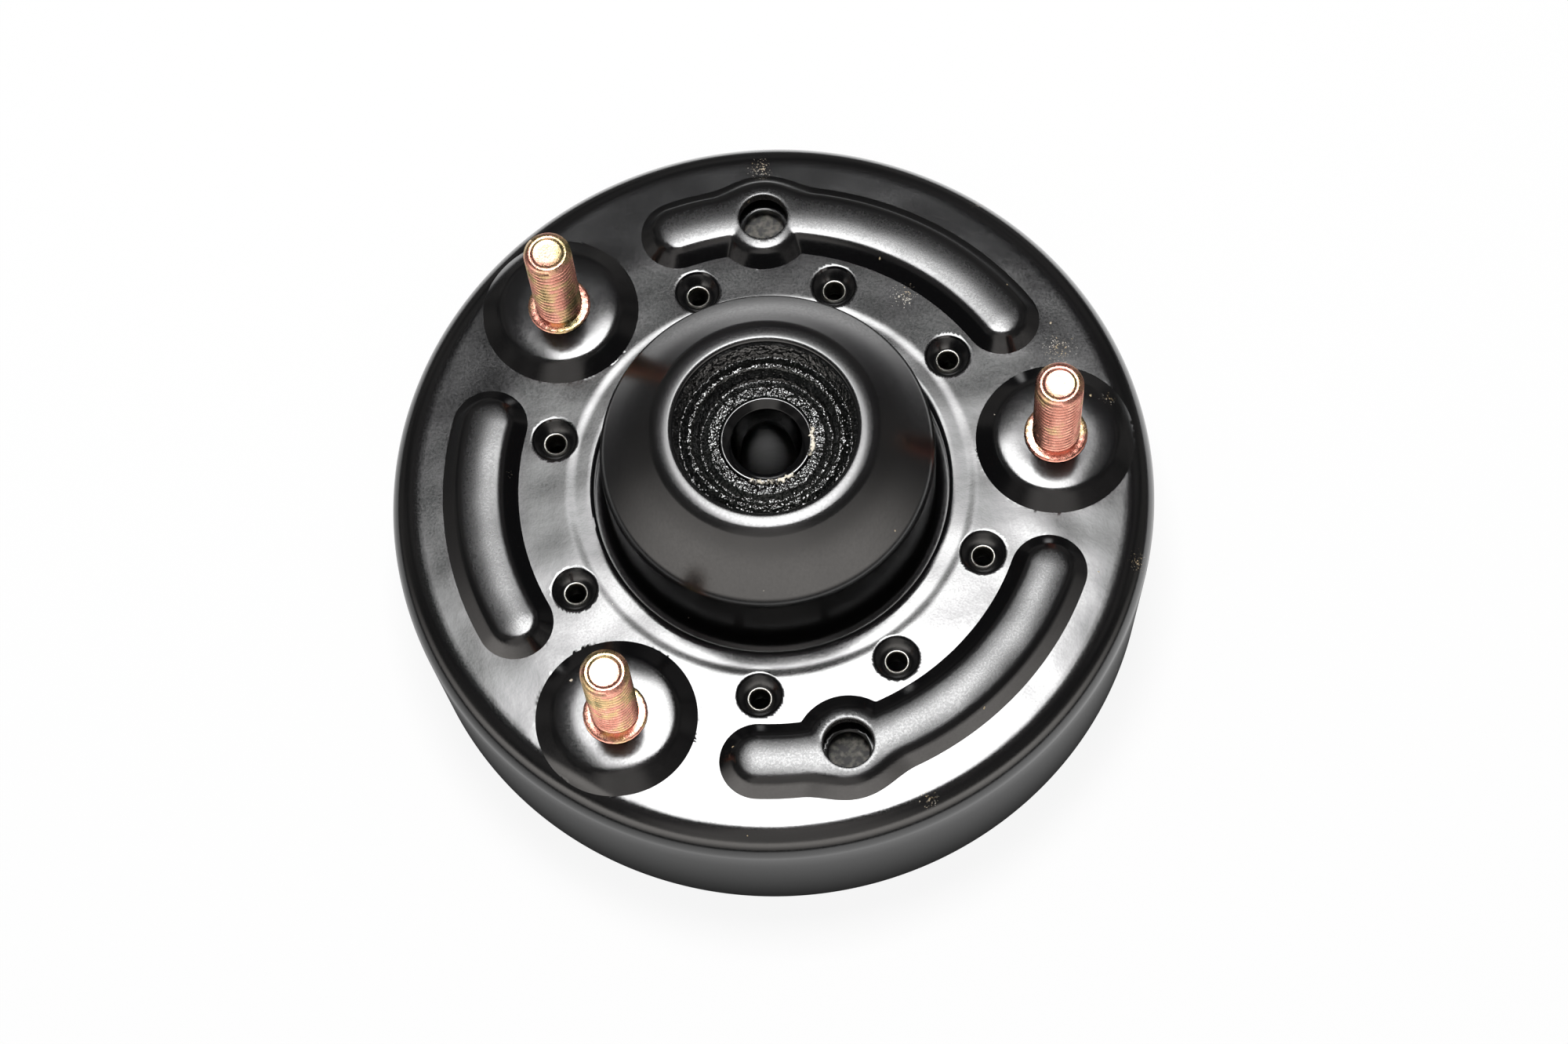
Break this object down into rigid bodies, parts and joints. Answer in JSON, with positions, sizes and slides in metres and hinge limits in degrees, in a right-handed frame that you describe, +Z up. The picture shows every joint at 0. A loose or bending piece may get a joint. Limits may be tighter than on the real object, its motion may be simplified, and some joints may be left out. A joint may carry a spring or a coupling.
{
  "type": "strut mount",
  "caption": "Round pressed-steel strut mount: ribbed pan with a deep rolled skirt, riveted central bush housing, rubber bush with steel sleeve, and threaded studs on raised bosses.",
  "frame": {"origin": "on the mount's axis, in the plane of the pan's rim, on which it stands", "axes": "+Z up along the axis towards the stud tips; +X through the stud on the plan's mirror line"},
  "size_m": [0.162, 0.162, 0.0685],
  "materials": {
    "gloss_black_paint": "gloss black cathodic dip paint on pressed steel",
    "black_coated_steel": "satin black coated steel",
    "yellow_zinc_plate": "yellow chromate over bright zinc",
    "black_rubber": "moulded rubber, overpainted where the bush shows"
  },
  "bodies": {
    "root": {"top_plate": "gloss_black_paint", "bush_housing": "gloss_black_paint", "retainer_plate": "black_coated_steel", "rivet_1": "gloss_black_paint", "rivet_2": "gloss_black_paint", "rivet_3": "gloss_black_paint", "rivet_4": "gloss_black_paint", "rivet_5": "gloss_black_paint", "rivet_6": "gloss_black_paint", "rivet_7": "gloss_black_paint", "rivet_8": "gloss_black_paint", "stud_1": "yellow_zinc_plate", "stud_2": "yellow_zinc_plate", "stud_3": "yellow_zinc_plate", "inner_sleeve": "black_coated_steel", "rubber_bush": "black_rubber", "spring_seat": "black_rubber"}
  },
  "joints": []
}
